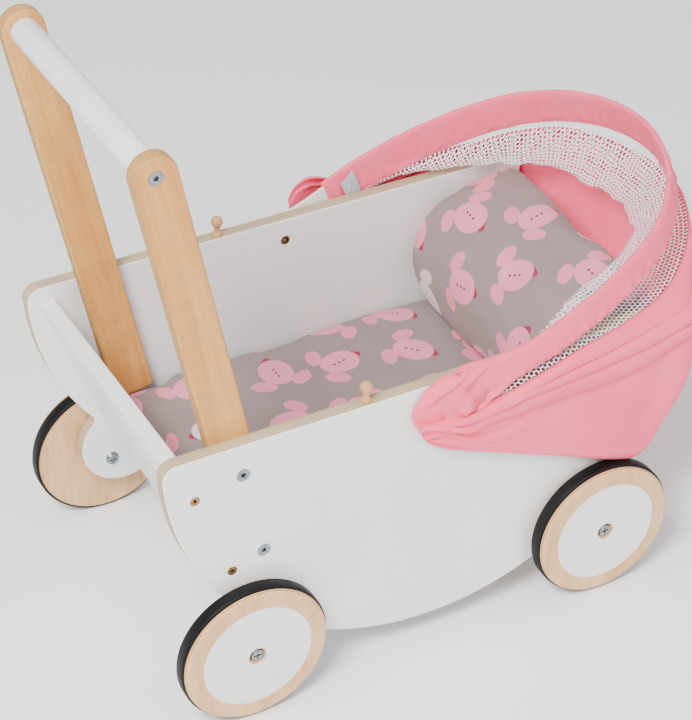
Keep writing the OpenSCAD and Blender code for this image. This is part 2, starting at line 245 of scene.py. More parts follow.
def side_outline(bm, y):
    """Straight top edge, two rounded corners, the half disc, and a lobe with two hollows at each axle."""
    middle = Vector((0, y, top))
    reach = math.sqrt((cradle_r - corner_r) ** 2 - corner_r ** 2)
    start = bm.verts.new((-reach, y, top))
    centres = [(Vector((-reach, y, top - corner_r)), corner_r)]
    for end, x in (("rear", axles["rear"]), ("front", axles["front"])):
        lobe = (Vector((x, y, axle_z)) - middle)
        lobe = middle + lobe * (1 - lobe_in / lobe.length)
        away = lobe - middle
        d, u = away.length, away.normalized()
        a = ((cradle_r + hollow_r) ** 2 - (lobe_r + hollow_r) ** 2 + d * d) / (2 * d)
        h = math.sqrt((cradle_r + hollow_r) ** 2 - a * a)
        hollows = [middle + u * a + Vector((-u.z, 0, u.x)) * h * s for s in (-1, 1)]
        centres += [(middle, cradle_r), (hollows[0], -hollow_r), (lobe, lobe_r), (hollows[1], -hollow_r)]
    centres += [(middle, cradle_r), (Vector((reach, y, top - corner_r)), corner_r)]
    at = start
    for (centre, r), (following, r2) in zip(centres, centres[1:] + [(None, 0)]):
        if following is None:
            goal = Vector((reach, y, top))
        elif r > 0 and r2 > 0:
            big, small = (centre, following) if r > r2 else (following, centre)
            goal = big + (small - big).normalized() * cradle_r
        else:
            goal = centre + (following - centre).normalized() * abs(r)
        sweep = bearing(goal, centre) - bearing(at.co, centre)
        sweep = (sweep % math.tau) if r < 0 else -((-sweep) % math.tau)
        at = arc(bm, at, centre, sweep, max(4, int(abs(sweep) * abs(r) ** 0.5 * 3)))
    bm.edges.new((at, start))


def sawn(bm, depth):
    """Fills the drawn outline round its sinks and draws it out to a board."""
    filled = bmesh.ops.triangle_fill(bm, edges=bm.edges[:], use_beauty=True, use_dissolve=False)
    drawn = [g for g in filled["geom"] if isinstance(g, bmesh.types.BMFace)]
    grown = bmesh.ops.extrude_face_region(bm, geom=drawn)
    bmesh.ops.translate(bm, vec=(0, depth, 0), verts=[g for g in grown["geom"] if isinstance(g, bmesh.types.BMVert)])
    bmesh.ops.recalc_face_normals(bm, faces=bm.faces)


def side(name, hand):
    """One side with its sinks: two arm bolts, two screws into each end board and the hood pivot."""
    bm = bmesh.new()
    face = hand * side_face
    side_outline(bm, face)
    sinks = [(bar_at.x + d * math.sin(arm_lean), bar_at.z - d * math.cos(arm_lean), 5.6) for d in (267.4, 346)]
    for end in (-1, 1):
        for up in (42.4, 124.7):
            sinks.append((end * (foot + up * math.sin(board_lean) + ply / 2 * math.cos(board_lean)),
                          foot_z + up * math.cos(board_lean) - ply / 2 * math.sin(board_lean), 4.1))
    sinks.append((0, pivot_z, 4.25))
    for x, z, r in sinks:
        bmesh.ops.create_circle(bm, cap_ends=False, segments=32, radius=r,
                                matrix=Matrix.Translation((x, face, z)) @ Matrix.Rotation(math.pi / 2, 4, "X"))
    sawn(bm, hand * ply)
    rim = [e for e in bm.edges if e.is_manifold and e.calc_face_angle() > 1.2]
    outer = [e for e in rim if min(math.hypot(v.co.x - x, v.co.z - z) - r for v in e.verts
                                   for x, z, r in sinks) > 1]
    bmesh.ops.bevel(bm, geom=outer, offset=1.3, offset_type="OFFSET", segments=3, profile=0.5,
                    affect="EDGES", material=-1)
    for f in bm.faces:
        f.material_index = 0 if abs(f.normal.y) > 0.6 else 1
        f.smooth = abs(f.normal.y) < 0.999
    piece = finished(bm, name, "frame", paint, panel_edge)
    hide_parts("side_panel_" + name.split("_")[1])


side("side_right", -1)
side("side_left", 1)

# ---- End boards and floor
# Straight 12 mm boards between the sides, leaning 20 degrees outwards, on a 9 mm floor.
# They are painted all over, so their eased edges are white too.
board_h = 150.0


def eased_box(size, at, ease):
    """A board with all its edges eased."""
    bm = bmesh.new()
    bmesh.ops.create_cube(bm, size=1)
    bmesh.ops.scale(bm, vec=size, verts=bm.verts)
    bmesh.ops.translate(bm, vec=at, verts=bm.verts)
    bmesh.ops.bevel(bm, geom=bm.edges[:], offset=ease, offset_type="OFFSET", segments=3, profile=0.5,
                    affect="EDGES", material=-1)
    for f in bm.faces:
        f.smooth = True
    return bm


for name, end in (("rear_end", -1), ("front_end", 1)):
    board = eased_box((ply, 2 * side_face, board_h), (end * ply / 2, 0, board_h / 2), 1.6)
    bmesh.ops.rotate(board, cent=(0, 0, 0), matrix=Matrix.Rotation(end * board_lean, 3, "Y"), verts=board.verts)
    bmesh.ops.translate(board, vec=(end * foot, 0, foot_z), verts=board.verts)
    board = finished(board, name, "frame", paint)
    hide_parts("rear_board" if end < 0 else "front_board")
floor_low, floor_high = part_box("floor_board")
size = (floor_high - floor_low) * 1000
bottom = finished(eased_box(size, (floor_low + floor_high) * 500 - cradle, 0.8), "bottom", "frame", paint)
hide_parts("floor_board")

# ---- Handle arms
# Birch plywood with a rounded top, lacquered, so the face veneer's long grain and the
# stacked veneers of the edge both show. Each holds the bar with a sunk bolt.
arm_w, arm_l, bar_sink_r = 34.0, 361.0, 5.8


def birch_face():
    """Lacquered face veneer with its grain along the arm."""
    f = Finish("birch_face", {"Specular IOR Level": 0.45})
    lean = (0, arm_lean, 0)
    broad = f.place.cloud(1, 4, 0.6, (46, 46, 3.2), lean)
    fibre = f.place.cloud(1, 4, 0.65, (700, 700, 16), lean)
    vein = f.place.cloud(1, 5, 0.6, (170, 170, 6), lean)
    curl = f.place.cloud(1, 2, 0.5, (30, 30, 75), lean)
    fleck = f.place.cloud(1, 2, 0.5, (900, 900, 60), lean).step(0.66, 0.74)
    tone = (broad * 0.9 + vein * 0.5 + curl * 0.22).step(0.45, 1.15)
    shade = tone.tint(linear(226, 170, 94), linear(190, 126, 54))
    shade = (fibre.step(0.35, 0.75) * 0.22).tint(shade, linear(150, 92, 46))
    shade = (fleck * 0.35).tint(shade, linear(120, 70, 36))
    return f.wear(Base_Color=shade, Roughness=0.36 + 0.18 * fibre, Normal=f.relief(fibre + vein, 0.12, 0.0003))


arm_face = birch_face()
arm_edge = bare_ply("arm_edge", (0, 1, 0), linear(214, 170, 104), linear(148, 106, 58))
for name, hand in (("right_arm", -1), ("left_arm", 1)):
    bm = bmesh.new()
    face = hand * side_face
    last = bm.verts.new((-arm_w / 2, face, 0))
    first = last
    last = arc(bm, last, Vector((0, 0, 0)), math.pi, 40)
    corners = [last] + [bm.verts.new((x, face, -arm_l)) for x in (arm_w / 2, -arm_w / 2)] + [first]
    for a, b in zip(corners, corners[1:]):
        bm.edges.new((a, b))
    bmesh.ops.create_circle(bm, cap_ends=False, segments=40, radius=bar_sink_r,
                            matrix=Matrix.Translation((0, face, 0)) @ Matrix.Rotation(math.pi / 2, 4, "X"))
    sawn(bm, -hand * ply)
    rim = [e for e in bm.edges if e.is_manifold and e.calc_face_angle() > 1.2
           and min(math.hypot(v.co.x, v.co.z) for v in e.verts) > 8]
    bmesh.ops.bevel(bm, geom=rim, offset=1.7, offset_type="OFFSET", segments=4, profile=0.5, affect="EDGES",
                    material=-1)
    for f in bm.faces:
        f.material_index = 0 if abs(f.normal.y) > 0.7 else 1
        f.smooth = abs(f.normal.y) < 0.999
    bmesh.ops.rotate(bm, cent=(0, 0, 0), matrix=Matrix.Rotation(-arm_lean, 3, "Y"), verts=bm.verts)
    bmesh.ops.translate(bm, vec=bar_at, verts=bm.verts)
    arm = finished(bm, name, "frame", arm_face, arm_edge)
    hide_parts("handle_" + "_".join(reversed(name.split("_"))))

# ---- Push bar
# A 22 mm beech rod painted a cooler, smoother white, held between the arms.
f = Finish("bar_paint", {"Specular IOR Level": 0.5, "Coat Weight": 0.15, "Coat Roughness": 0.2})
drift = f.place.cloud(22, 3, 0.5)
bar_paint = f.wear(Base_Color=drift.step(0.3, 0.7).tint(linear(226, 229, 233), linear(236, 238, 240)),
                   Roughness=0.26 + 0.1 * drift, Normal=f.relief(f.place.cloud(500, 2, 0.5), 0.08, 0.0002))
bar_r, bar_half = 11, side_face - ply
bm = bmesh.new()
bmesh.ops.create_circle(bm, cap_ends=True, segments=64, radius=bar_r,
                        matrix=Matrix.Translation((0, -bar_half, 0)) @ Matrix.Rotation(math.pi / 2, 4, "X"))
grown = bmesh.ops.extrude_face_region(bm, geom=bm.faces[:])
bmesh.ops.translate(bm, vec=(0, 2 * bar_half, 0),
                    verts=[g for g in grown["geom"] if isinstance(g, bmesh.types.BMVert)])
bmesh.ops.recalc_face_normals(bm, faces=bm.faces)
bmesh.ops.bevel(bm, geom=[e for e in bm.edges if abs(e.verts[0].co.y - e.verts[1].co.y) < 1], offset=0.7,
                offset_type="OFFSET", segments=3, profile=0.5, affect="EDGES", material=-1)
for face in bm.faces:
    face.smooth = abs(face.normal.y) < 0.99
bmesh.ops.translate(bm, vec=bar_at, verts=bm.verts)
bar = finished(bm, "bar", "frame", bar_paint)
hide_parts("handle_bar")

# ---- Pegs
# Small beech turnings with a neck, a bead and a round head, glued into each top edge.
def turned_wood(name, light, dark):
    """Bare wood with its grain upright."""
    f = Finish(name, {"Specular IOR Level": 0.4})
    streak = f.place.cloud(1, 4, 0.6, (1100, 1100, 120))
    broad = f.place.cloud(55, 3, 0.6)
    shade = (streak * 0.5 + broad * 0.6).step(0.3, 0.85).tint(light, dark)
    return f.wear(Base_Color=shade, Roughness=0.42 + 0.2 * streak, Normal=f.relief(streak, 0.15, 0.0002))


peg_x, ball_r, ball_z = -59.0, 5.0, 12.5
peg_wood = turned_wood("peg_wood", linear(216, 172, 118), linear(180, 130, 80))
for name, hand in (("right_peg", -1), ("left_peg", 1)):
    bm = bmesh.new()
    outline = [(0, -9), (2.9, -9), (2.9, -0.2), (4.2, 0), (4.5, 1.0), (3.9, 2.2), (2.8, 2.9), (2.5, 5), (2.7, 7.4)]
    outline += [(ball_r * math.cos(a), ball_z + ball_r * math.sin(a))
                for a in [math.radians(d) for d in range(-54, 91, 9)]]
    ring = [bm.verts.new((x, 0, z)) for x, z in outline[:-1]] + [bm.verts.new((0, 0, ball_z + ball_r))]
    rims = [bm.edges.new(pair) for pair in zip(ring, ring[1:])]
    bmesh.ops.spin(bm, geom=ring + rims, cent=(0, 0, 0), axis=(0, 0, 1), angle=math.tau, steps=36, use_merge=True,
                   use_duplicate=False)
    bmesh.ops.remove_doubles(bm, verts=bm.verts, dist=0.001)
    bmesh.ops.recalc_face_normals(bm, faces=bm.faces)
    for face in bm.faces:
        face.smooth = True
    bmesh.ops.translate(bm, vec=(peg_x, hand * (side_face + ply / 2), top), verts=bm.verts)
    peg = finished(bm, name, "frame", peg_wood)
    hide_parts("peg_" + name.split("_")[0])

# ---- Wheels
# Turned discs with a rounded outer lip, a painted middle and a black rubber band let into
# the rim behind the lip. Each turns on a sleeve nut in a sunk hole.
wheel_y0, wheel_w, disc_r, seat_r, painted_r = 136.3, 17.0, 60.0, 58.5, 45.5
bore_r, lip_r = 4.55, 3.8
lip = [(disc_r - lip_r * (1 - math.cos(a)), wheel_w - lip_r * (1 - math.sin(a)))
       for a in [math.radians(d) for d in range(0, 91, 15)]]
disc_outline = [(bore_r, 0), (disc_r - 1.3, 0), (disc_r - 0.5, 0.8), (seat_r, 1), (seat_r, 12.5),
                (disc_r - 0.4, 12.6)]
disc_outline += lip
disc_outline += [(painted_r, wheel_w), (7.6, wheel_w), (6.9, wheel_w - 0.6), (6.8, 13.4), (bore_r, 13.4)]
band_outline = [(seat_r, 1.1), (60.2, 1.1), (61.1, 1.5), (61.5, 2.4), (61.5, 11.1), (61.1, 12), (60.2, 12.4),
                (seat_r, 12.4)]


def wheel_face():
    """Lightly lacquered veneer with its grain up the wheel."""
    f = Finish("wheel_face", {"Specular IOR Level": 0.4})
    streak = f.place.cloud(1, 4, 0.62, (900, 900, 45))
    broad = f.place.cloud(1, 3, 0.6, (60, 60, 12))
    fleck = f.place.cloud(1, 2, 0.5, (1200, 1200, 150)).step(0.64, 0.72)
    shade = (streak * 0.5 + broad * 0.7).step(0.35, 0.9).tint(linear(230, 188, 142), linear(196, 146, 100))
    shade = (fleck * 0.4).tint(shade, linear(150, 102, 62))
    return f.wear(Base_Color=shade, Roughness=0.42 + 0.18 * streak, Normal=f.relief(streak, 0.14, 0.0003))


wheel_wood = wheel_face()
wheel_edge = bare_ply("wheel_edge", (0, 1, 0), linear(220, 180, 128), linear(172, 126, 78), 11)
f = Finish("rubber_band", {"Specular IOR Level": 0.22})
scuff = f.place.cloud(120, 5, 0.7)
rubber = f.wear(Base_Color=scuff.step(0.35, 0.8).tint(linear(4, 4, 5), linear(12, 11, 12)),
                Roughness=0.42 + 0.25 * scuff, Normal=f.relief(f.place.cloud(900, 2, 0.6), 0.2, 0.0002))


def turned(outline, hand):
    """A closed outline, radius and depth, turned round the axle."""
    bm = bmesh.new()
    ring = [bm.verts.new((r, hand * y, 0)) for r, y in outline]
    rims = [bm.edges.new(pair) for pair in zip(ring, ring[1:] + ring[:1])]
    bmesh.ops.spin(bm, geom=ring + rims, cent=(0, 0, 0), axis=(0, 1, 0), angle=math.tau, steps=128,
                   use_merge=True, use_duplicate=False)
    bmesh.ops.recalc_face_normals(bm, faces=bm.faces)
    return bm


for end, x in axles.items():
    for side_name, hand in (("right", -1), ("left", 1)):
        bm = turned(disc_outline, hand)
        for face in bm.faces:
            middle = face.calc_center_median()
            far_out = math.hypot(middle.x, middle.z)
            proud = hand * middle.y
            face.material_index = 2 if proud > 16.9 and 8 < far_out < painted_r else (
                1 if far_out > 57.8 and proud < 15.2 else 0)
            face.smooth = abs(face.normal.y) < 0.99
        bmesh.ops.translate(bm, vec=(x, hand * wheel_y0, axle_z), verts=bm.verts)
        wheel = finished(bm, f"{end}_{side_name}_disc", f"wheel_{end}_{side_name}", wheel_wood, wheel_edge, paint)
        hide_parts(f"wheel_{end}_{side_name}")
        bm = turned(band_outline, hand)
        for face in bm.faces:
            face.smooth = True
        bmesh.ops.translate(bm, vec=(x, hand * wheel_y0, axle_z), verts=bm.verts)
        band = finished(bm, f"{end}_{side_name}_band", f"wheel_{end}_{side_name}", rubber)
        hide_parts(f"tyre_{end}_{side_name}")

# ---- Screws, bolts, nuts and inserts
# Zinc plated bolts with cross or hexagon sockets and yellow plated wood screws and inserts.
def plated(name, bright, dull, rough):
    """Plated steel, a little stained."""
    f = Finish(name, {"Metallic": 1.0})
    stain = f.place.cloud(700, 4, 0.6)
    return f.wear(Base_Color=stain.step(0.3, 0.75).tint(bright, dull), Roughness=rough + 0.2 * stain,
                  Normal=f.relief(f.place.cloud(2200, 2, 0.5), 0.15, 0.0001))


zinc = plated("zinc", linear(168, 174, 180), linear(96, 102, 108), 0.22)
yellow_plate = plated("yellow_plate", linear(176, 142, 92), linear(112, 84, 50), 0.26)
for node in ("bar_bolts", "arm_bolts", "axle_bolts", "axle_sleeves", "axle_washers", "hood_pivot_bolts",
             "hood_pivot_inserts", "hood_pivot_washers", "board_screws", "bar_inserts", "arm_inserts"):
    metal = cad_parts[node]
    metal.data.materials.clear()
    metal.data.materials.append(yellow_plate if node in ("board_screws", "bar_inserts", "arm_inserts",
                                                         "hood_pivot_inserts") else zinc)
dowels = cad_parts["floor_dowels"]
dowels.data.materials.clear()
dowels.data.materials.append(peg_wood)

# ---- Hood bow
# A bent white strip that turns on a bolt outside each side. Only its ends are bare.
f = Finish("bow_white", {"Specular IOR Level": 0.45})
bow_white = f.wear(Base_Color=f.place.cloud(30, 3, 0.5).tint(linear(226, 226, 224), linear(236, 236, 234)),
                   Roughness=0.38 + 0.1 * f.place.cloud(40, 2, 0.5))
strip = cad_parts["hood_bow"]
strip.data.materials.clear()
strip.data.materials.append(bow_white)

# ---- Mattress and pillow
# Loose cushions of printed cotton over wadding: a flat one on the floor board, pushed aside by
# the arm ends, and a full one that leans on the head end. Both are rounded at their sides.
def printed_cotton(name, turn):
    """Warm grey cotton printed with pale buds, each between two leaves, at all angles."""
    f = Finish(name, {"Specular IOR Level": 0.2, "Sheen Weight": 0.1, "Sheen Roughness": 0.5})
    laid = f.flat.node("Mapping", {}, {"Vector": f.flat, "Rotation": (0, 0, turn), "Location": (0.013, 0.031, 0)})
    wobble = laid.cloud(40, 2, 0.5) - 0.5
    cells = {"Vector": laid, "Scale": 1 / 0.0625, "Randomness": 0.2}
    kind = {"voronoi_dimensions": "2D", "feature": "F1"}
    middle = laid.node("TexVoronoi", kind, cells, 2)
    chance = laid.node("TexVoronoi", kind, cells, 1)
    away = laid.node("VectorMath", {"operation": "SUBTRACT"}, {0: laid, 1: middle})
    away = away.node("VectorRotate", {"rotation_type": "Z_AXIS"}, {"Vector": away, "Angle": chance.part(0) * 6.28})
    across, along = away.part(0), away.part(1)

    def oval(x, y, wide, tall, tilt=0.0):
        c, s = math.cos(tilt), math.sin(tilt)
        u = ((across - x) * c + (along - y) * s) / wide
        v = ((along - y) * c - (across - x) * s) / tall
        return (u * u + v * v + wobble * 0.12).step(1.06, 0.94)

    def either(a, b):
        return a.worked("MAXIMUM", b)

    bud = oval(0, 0.002, 0.0145, 0.0178)
    leaves = either(oval(0.0175, -0.0125, 0.0105, 0.0068, 0.5), oval(-0.0165, -0.0135, 0.0105, 0.0066, -0.6))
    tip = either(oval(0, 0.0205, 0.0034, 0.0036), oval(0.0035, 0.0185, 0.0026, 0.0026))
    seed = 0.0011, 0.0014
    seeds = either(oval(0, 0.006, *seed), either(oval(0, 0.001, *seed), oval(0, -0.004, *seed)))
    weave = (f.flat.part(0) * 9000).worked("SINE") * (f.flat.part(1) * 9000).worked("SINE") * 0.5 + 0.5
    slub = f.flat.cloud(1, 3, 0.6, (900, 260, 1))
    broad = f.place.cloud(16, 3, 0.5)
    ground = (slub * 0.5 + broad * 0.5).step(0.2, 0.8).tint(linear(150, 134, 131), linear(132, 116, 114))
    white = chance.part(1) > 0.86
    pale = white.tint(linear(226, 132, 156), linear(212, 200, 200))
    shade = leaves.tint(ground, pale)
    shade = tip.tint(shade, linear(160, 36, 78))
    shade = bud.tint(shade, white.tint(linear(230, 138, 162), linear(218, 208, 206)))
    shade = seeds.tint(shade, linear(140, 36, 72))
    return f.wear(Base_Color=shade, Roughness=0.82 + 0.1 * slub,
                  Normal=f.relief(slub + weave * 0.5 + broad * 2, 0.25, 0.0006))


def bend(a, b, c, d, k):
    """A place k of the way from b to c on the smooth line through all four."""
    return 0.5 * (2 * b + (c - a) * k + (2 * a - 5 * b + 4 * c - d) * k * k + (3 * b - a - 3 * c + d) * k ** 3)


def spline(points, x):
    """A place on the smooth closed line through the points, x of the way round it."""
    x = x % 1.0 * len(points)
    i, k = int(x), x % 1.0
    a, b, c, d = (Vector(points[(i + n) % len(points)]) for n in (-1, 0, 1, 2))
    return bend(a, b, c, d, k)


def stuffed(name, section, half, plan, edge, cloth, keep, pressure, most):
    """A filled cushion: its lengthwise section carried across and drawn in towards both sides,
    sharply in length (plan) and gently in height (edge). Then it is blown up like filled cloth,
    each point stays within a few millimetres of its place, and keep() holds it off its neighbours."""
    columns, rows = 132, 64
    middle = sum((Vector(p) for p in section), Vector((0, 0))) / len(section)
    fine = [spline(section, i / 600) for i in range(601)]
    run = [0.0]
    for a, b in zip(fine, fine[1:]):
        run.append(run[-1] + (b - a).length)
    ring = [min(range(601), key=lambda i: abs(run[i] - run[-1] * n / columns)) for n in range(columns + 1)]

    def sideways(row):
        """How far a row lies from the middle, with the rows closer together at both sides."""
        return math.sin(row * math.pi * 0.965)

    bm = bmesh.new()
    bmesh.ops.create_grid(bm, x_segments=columns, y_segments=rows, size=0.5)
    cut = bm.loops.layers.uv.new("cut")
    for face in bm.faces:
        face.smooth = True
        for loop in face.loops:
            at = loop.vert.co
            loop[cut].uv = (sideways(at.y) * half / 1000, (at.x + 0.5) * run[-1] / 1000)
    for v in bm.verts:
        q, y = fine[ring[round((v.co.x + 0.5) * columns)]], sideways(v.co.y)
        long, tall = (1 - abs(y) ** plan) ** 0.5, (1 - abs(y) ** edge) ** 0.5
        away = q - middle
        x, z = middle.x + away.x * long, middle.y + away.y * (0.2 * long + 0.8 * tall)
        away.normalize()
        soft = 1.6 * noise.noise(Vector((x, y * half, z)) / 34)
        soft += 0.5 * noise.noise(Vector((x / 13, y * half / 40, z / 13)))
        v.co = keep(Vector((x + away.x * soft, y * half, z + away.y * soft)))
    bmesh.ops.remove_doubles(bm, verts=bm.verts, dist=0.01)
    bmesh.ops.holes_fill(bm, edges=[e for e in bm.edges if e.is_boundary], sides=0)
    bmesh.ops.recalc_face_normals(bm, faces=bm.faces)
    piece = finished(bm, name, "frame", cloth)
    filling = piece.modifiers.new("cloth", "CLOTH")
    filling.settings.use_pressure = True
    filling.settings.uniform_pressure_force = pressure
    filling.settings.effector_weights.gravity = 0
    filling.point_cache.frame_start, filling.point_cache.frame_end = 1, 20
    for moment in range(1, 21):
        bpy.context.scene.frame_set(moment)
    puffed = bpy.data.meshes.new_from_object(piece.evaluated_get(bpy.context.evaluated_depsgraph_get()))
    piece.modifiers.clear()
    bpy.context.scene.frame_set(1)
    for v, now in zip(piece.data.vertices, puffed.vertices):
        step = now.co - v.co
        step *= min(1.0, most / 1000 / max(step.length, 1e-9))
        v.co = (keep((v.co + step) * 1000 - cradle) + cradle) / 1000
    finer = piece.modifiers.new("finer", "SUBSURF")
    finer.levels = finer.render_levels = 1
    return piece


def clear_of_arms(p):
    """Holds the mattress on its board, inside the sides, and round the two arm ends."""
    p.z = max(105.3, p.z)
    ahead = (p.x + 122) / 14
    room = 120.6
    if ahead < 1 and p.z > 120:
        room -= 13.2 * min(1, max(0, 1 - ahead)) * min(1, (p.z - 120) / 9)
    p.y = max(-room, min(room, p.y))
    lean = foot + math.tan(board_lean) * (p.z - foot_z) - 0.8
    p.x = max(-lean, min(lean, p.x))
    return p


mattress_section = ((-153, 105), (-161, 118), (-159, 131), (-140, 134.5), (-100, 135.5), (-50, 136), (0, 136),
                    (50, 136), (100, 135.5), (140, 134.5), (159, 131), (161, 118), (153, 105), (75, 105),
                    (0, 105), (-75, 105))
mattress = stuffed("mattress_pad", mattress_section, 121, 70, 14, printed_cotton("mattress_cotton", 1.35),
                   clear_of_arms, 3.5, 5)
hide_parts("mattress")


def clear_of_end(p):
    """Holds the pillow inside the sides, off the head end board and on the mattress."""
    p.y = max(-120.4, min(120.4, p.y))
    p.x = min(p.x, foot + math.tan(board_lean) * (p.z - foot_z) - 0.8)
    p.z = max(p.z, 136.0)
    return p


pillow_section = ((128, 139), (116, 158), (113, 184), (118, 210), (133, 234), (156, 247), (183, 254), (206, 257),
                  (212, 250), (204, 229), (195, 205), (186, 180), (177, 155), (169, 140), (151, 136))
pillow = stuffed("head_pillow", pillow_section, 121.5, 18, 11, printed_cotton("pillow_cotton", 2.3),
                 clear_of_end, 4, 7)
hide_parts("pillow")

# ---- Hood cloth
# Pink cotton: a sleeve round the bow and a cover that hangs from it over the head end to a
# stitched hem. Between them is a crescent of white net. The cover is slack and gathered at
# both rear corners, over the pivots.
bow_lean, bow_l, leg_y, leg_h = math.radians(70.5), 283.0, 137.1, 16.0
flare, flare_r, crown_from = math.radians(8), 250.0, math.radians(22)
flare_y, flare_h = leg_y + flare_r * (1 - math.cos(flare)), leg_h + flare_r * math.sin(flare)
fit = ((math.cos(flare) - math.cos(crown_from)) * (1 - math.sin(crown_from))
       - math.cos(crown_from) * (math.sin(crown_from) + math.sin(flare)))
shoulder_r = (flare_y * (1 - math.sin(crown_from)) - math.cos(crown_from) * (bow_l - flare_h)) / fit
crown_r = ((math.cos(flare) - math.cos(crown_from)) * (bow_l - flare_h)
           - flare_y * (math.sin(crown_from) + math.sin(flare))) / fit
runs = [leg_h, flare_r * flare, shoulder_r * (flare + crown_from), crown_r * (math.pi / 2 - crown_from)]
half_bow = sum(runs)


def on_bow(s, out=0.0, across=0.0):
    """A place s mm along the bow from the right pivot (crown at half_bow), out from its middle
    line, and across it towards the head end."""
    hand = -1 if s <= half_bow else 1
    s = s if s <= half_bow else 2 * half_bow - s
    if s < runs[0]:
        y, h, a = leg_y, s, 0.0
    elif s < runs[0] + runs[1]:
        a = (s - runs[0]) / flare_r
        y, h, a = leg_y + flare_r * (1 - math.cos(a)), leg_h + flare_r * math.sin(a), -a
    elif s < half_bow - runs[3]:
        a = (s - runs[0] - runs[1]) / shoulder_r - flare
        y = flare_y + shoulder_r * (math.cos(a) - math.cos(flare))
        h = flare_h + shoulder_r * (math.sin(a) + math.sin(flare))
    else:
        a = crown_from + (s - half_bow + runs[3]) / crown_r
        y, h = crown_r * math.cos(a), bow_l - crown_r + crown_r * math.sin(a)
    y, h = y + out * math.cos(a), h + out * math.sin(a)
    return Vector((across * math.cos(bow_lean) + h * math.sin(bow_lean), hand * y,
                   pivot_z - across * math.sin(bow_lean) + h * math.cos(bow_lean)))


def ease_in(x, low, high):
    """0 up to low, 1 from high on, and smooth between."""
    x = max(0.0, min(1.0, (x - low) / (high - low)))
    return x * x * (3 - 2 * x)


def woven(name, columns, rows, place, cut, finish, wrap=False, thick=0.0):
    """A strip of cloth: a flat grid laid in place, with each point of its cut as its UV map."""
    bm = bmesh.new()
    bmesh.ops.create_grid(bm, x_segments=columns, y_segments=rows, size=0.5)
    laid = bm.loops.layers.uv.new("cut")
    for face in bm.faces:
        face.smooth = True
        for loop in face.loops:
            loop[laid].uv = cut(loop.vert.co.x + 0.5, loop.vert.co.y + 0.5)
    for v in bm.verts:
        v.co = place(v.co.x + 0.5, v.co.y + 0.5)
    if wrap:
        bmesh.ops.remove_doubles(bm, verts=bm.verts, dist=0.01)
        bmesh.ops.holes_fill(bm, edges=[e for e in bm.edges if e.is_boundary], sides=0)
    bmesh.ops.recalc_face_normals(bm, faces=bm.faces)
    piece = finished(bm, name, None, finish)
    if thick:
        wall = piece.modifiers.new("thickness", "SOLIDIFY")
        wall.thickness, wall.offset = thick, 0
    return piece


def pink_cotton(name, hem_at=None):
    """Plain woven pink cotton, with a row of stitches where it has a hem."""
    f = Finish(name, {"Specular IOR Level": 0.22, "Sheen Weight": 0.1, "Sheen Roughness": 0.4,
                      "Sheen Tint": linear(255, 205, 205)})
    u, v = f.flat.part(0), f.flat.part(1)
    weave = (u * 11000).worked("SINE") * (v * 11000).worked("SINE") * 0.5 + 0.5
    slub = f.flat.cloud(1, 3, 0.6, (1200, 300, 1))
    crush = f.place.cloud(1, 4, 0.6, (26, 40, 60))
    broad = f.place.cloud(12, 3, 0.5)
    shade = (slub * 0.5 + broad * 0.6).step(0.25, 0.85).tint(linear(255, 112, 140), linear(250, 92, 122))
    height = slub * 0.6 + weave * 0.4 + crush * 6
    if hem_at:
        stitch = (u * 330).worked("FRACT")
        line = ((v - hem_at) * 2200).worked("ABSOLUTE").step(1, 0.4)
        thread = line * (stitch < 0.62)
        shade = (thread * 0.5).tint(shade, linear(250, 150, 162))
        height = height + thread * 1.2 - line * 0.8
    return f.wear(Base_Color=shade, Roughness=0.78 + 0.12 * slub, Normal=f.relief(height, 0.35, 0.0006))


pink, hemmed = pink_cotton("pink_cotton"), pink_cotton("hemmed_cotton", 0.0085)
sleeve_from, sleeve_short, tip_r = -24.0, 52.0, 24.5


def half_width(s):
    """Half the sleeve's width. It is pulled narrow round the right shoulder."""
    return 17 - 3.6 * ease_in(s, 28, 75) * (1 - ease_in(s, half_bow - 120, half_bow - 15))


def sleeve_place(u, v):
    """A flattened tube round the bow, puckered along its lower half, loose over the right pivot."""
    s = sleeve_from + u * (2 * half_bow - sleeve_short - sleeve_from)
    a = v * math.tau
    c, w = math.cos(a), math.sin(a)
    loose = math.exp(-((s - 14) / 30) ** 2)
    tip = math.sqrt(max(0.02, 1 - (min(0.0, s) / tip_r) ** 2))
    across = (half_width(s) + loose * (7 if c < 0 else 3)) * tip * math.copysign(abs(c) ** 0.45, c)
    out = (2.9 + loose * 3.4) * (0.4 + 0.6 * tip) * math.copysign(abs(w) ** 0.75, w)
    other = 0 if s < half_bow else 50
    pucker = noise.noise(Vector((s / 9, across / 30, out / 9 + other))) * 1.3
    pucker += noise.noise(Vector((s / 23, 3, out / 9))) * 1.0
    grip = ease_in(across, -2, 16) + 0.35 * ease_in(-across, 8, 17)
    pucker += loose * 3.6 * (0.5 + math.sin(across * 0.62 + s * 0.13)) * tip
    ruff = 3.0 * noise.noise(Vector((s / 6, other, across / 60)))
    ruff *= ease_in(across, 0, 9) * (1 - ease_in(across, 10, 14))
    stand = out + (pucker * (0.3 + 0.7 * grip) + ruff) * (1 if abs(out) > 0.5 else 0.3)
    if abs(across) < half_width(s) - 0.7:
        stand = max(stand, 2.1) if w > 0 else min(stand, -2.1)
    return on_bow(s, stand, across + (max(0.0, pucker) if c > 0 else pucker) * 0.6)


sleeve = woven("bow_sleeve", 420, 48, sleeve_place,
               lambda u, v: (u * 2 * half_bow / 1000, v * 0.076), pink, wrap=True)
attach(sleeve, "hood")
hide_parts("hood_sleeve")

# The net is knitted with small round holes. It hangs slack inside from the sleeve's lower edge
# to a fold and comes back up to the cover's seam, so it shows double.
net_finish = Finish("white_net", {"Specular IOR Level": 0.25})
u, v = net_finish.flat.part(0), net_finish.flat.part(1)
pitch = 0.0042


